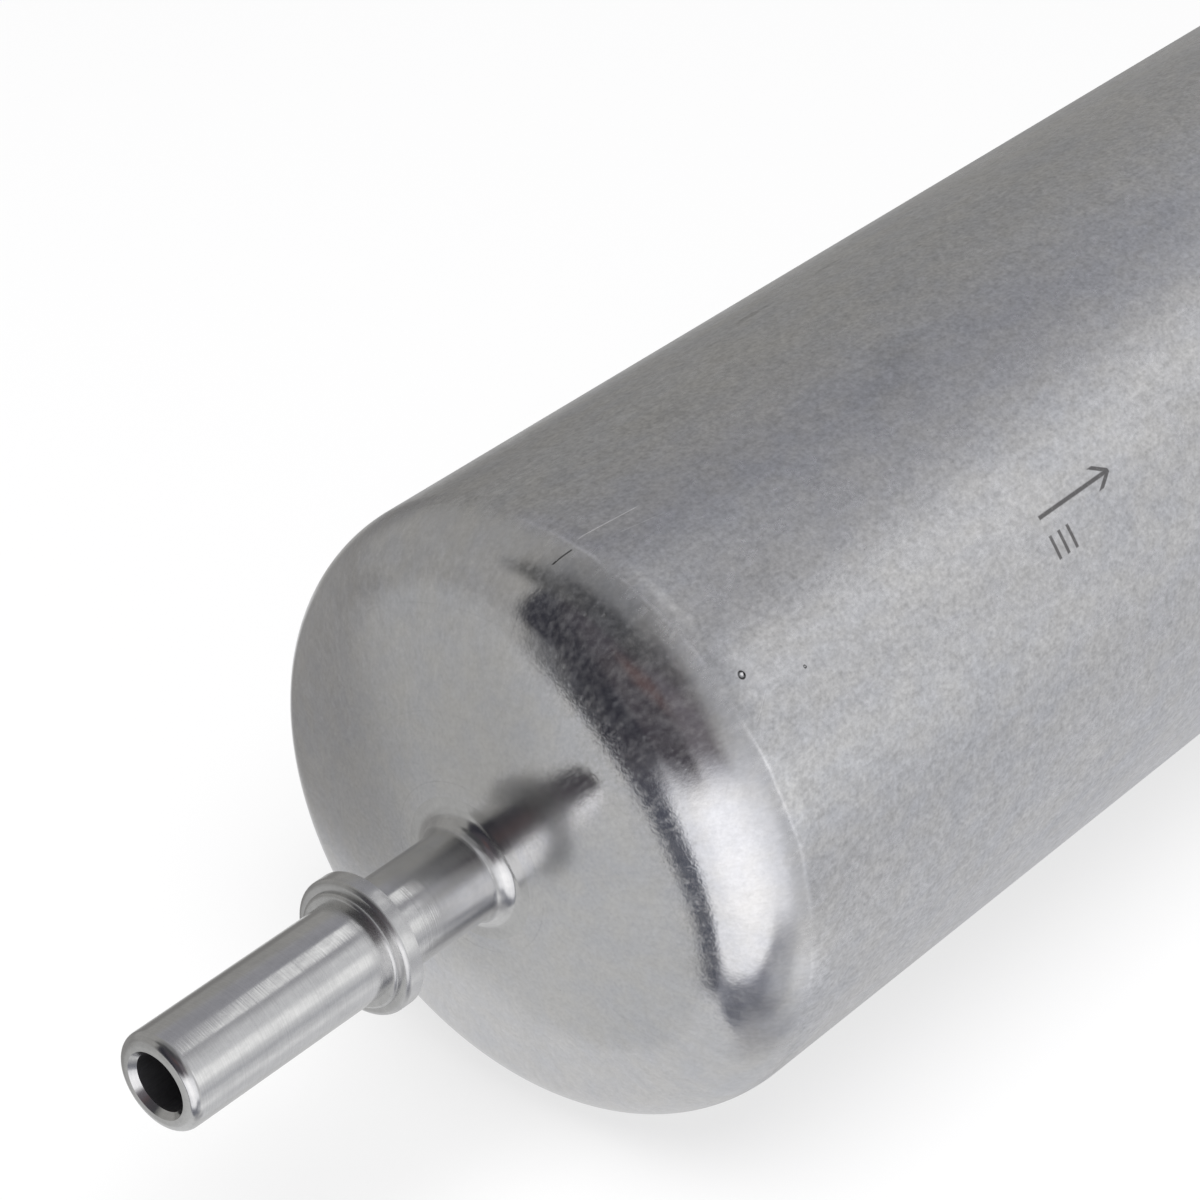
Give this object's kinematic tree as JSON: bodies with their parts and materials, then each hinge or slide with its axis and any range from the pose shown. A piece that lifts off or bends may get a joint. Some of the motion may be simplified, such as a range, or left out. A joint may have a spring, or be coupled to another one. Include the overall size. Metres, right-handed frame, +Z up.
{
  "type": "diesel lift pump",
  "caption": "In-line electric fuel lift pump: drawn aluminium can with a straight collared inlet spigot, moulded end cover with outlet spigot and electrical socket.",
  "frame": {"origin": "on the pump's axis, in the middle of the can's straight wall, which a clamp holds", "axes": "+X along the axis towards the outlet, +Z up through the electrical socket, +Y to the left seen along the flow"},
  "size_m": [0.2013, 0.052, 0.052],
  "materials": {
    "can_aluminium": "satin bare aluminium with a brighter shoulder and spigot",
    "cover_plastic": "black glass-filled moulding",
    "seal_rubber": "black moulded rubber",
    "terminal_brass": "tin-plated brass",
    "lead_red": "red lead insulation",
    "lead_brown": "brown lead insulation",
    "natural_plastic": "natural acetal",
    "mesh_polyamide": "fine woven mesh",
    "case_steel": "zinc-plated steel",
    "plate_aluminium": "machined die casting",
    "sintered_steel": "ground sintered steel",
    "ground_steel": "ground steel",
    "bearing_bronze": "sintered bronze",
    "laminations": "stacked laminations",
    "winding_copper": "enamelled copper wire",
    "commutator_copper": "turned copper",
    "hub_resin": "moulded resin",
    "ferrite": "ground ferrite",
    "brush_carbon": "pressed carbon",
    "valve_brass": "turned brass"
  },
  "bodies": {
    "housing": {"can": "can_aluminium", "end_cover": "cover_plastic", "cover_seal": "seal_rubber", "terminal_positive": "terminal_brass", "terminal_negative": "terminal_brass", "lead_positive": "lead_red", "lead_negative": "lead_brown", "strainer_frame": "natural_plastic", "strainer_mesh": "mesh_polyamide", "front_isolator": "seal_rubber", "rear_isolator": "seal_rubber", "module_case": "case_steel", "inlet_plate": "plate_aluminium", "locating_pins": "ground_steel", "eccentric_ring": "sintered_steel", "port_plate": "plate_aluminium", "front_bearing": "bearing_bronze", "magnet_upper": "ferrite", "magnet_lower": "ferrite", "magnet_clips": "ground_steel", "brush_carrier": "natural_plastic", "rear_bearing": "bearing_bronze", "brush_spring_left": "ground_steel", "brush_spring_right": "ground_steel", "choke_positive": "winding_copper", "choke_negative": "winding_copper", "module_tabs": "terminal_brass", "outlet_nipple": "cover_plastic", "nipple_seal": "seal_rubber", "check_spring": "ground_steel", "check_retainer": "valve_brass", "relief_spring": "ground_steel", "relief_plug": "valve_brass"},
    "armature": {"gerotor_inner": "sintered_steel", "thrust_washers": "natural_plastic", "shaft": "ground_steel", "drive_pin": "ground_steel", "armature_core": "laminations", "windings": "winding_copper", "commutator_hub": "hub_resin", "commutator_bars": "commutator_copper"},
    "outer_rotor": {"gerotor_outer": "sintered_steel"},
    "brush_left": {"brush_left": "brush_carbon"},
    "brush_right": {"brush_right": "brush_carbon"},
    "check_valve": {"check_poppet": "natural_plastic"},
    "relief_valve": {"relief_ball": "ground_steel"}
  },
  "joints": [
    {"name": "armature_spin", "type": "hinge", "parent": "housing", "child": "armature", "pos_m": [0, 0, 0], "axis": [1, 0, 0], "continuous": true},
    {"name": "outer_rotor_spin", "type": "hinge", "parent": "housing", "child": "outer_rotor", "pos_m": [-0.04535, 0, 0.0014], "axis": [1, 0, 0], "continuous": true},
    {"name": "brush_left_slide", "type": "slide", "parent": "housing", "child": "brush_left", "axis": [0, 1, 0], "range_m": [0, 0.0015], "stiffness_N_per_m": 1900, "springref_m": -0.0005, "deforming": ["brush_spring_left"]},
    {"name": "brush_right_slide", "type": "slide", "parent": "housing", "child": "brush_right", "axis": [0, -1, 0], "range_m": [0, 0.0015], "stiffness_N_per_m": 1900, "springref_m": -0.0005, "deforming": ["brush_spring_right"]},
    {"name": "check_valve_slide", "type": "slide", "parent": "housing", "child": "check_valve", "axis": [1, 0, 0], "range_m": [0, 0.0018], "stiffness_N_per_m": 1270, "springref_m": -0.0004, "deforming": ["check_spring"]},
    {"name": "relief_valve_slide", "type": "slide", "parent": "housing", "child": "relief_valve", "axis": [1, 0, 0], "range_m": [0, 0.0012], "stiffness_N_per_m": 7600, "springref_m": -0.0001, "deforming": ["relief_spring"]}
  ],
  "couplings": [
    {"joint": "outer_rotor_spin", "follows": "armature_spin", "ratio": 0.85714}
  ]
}
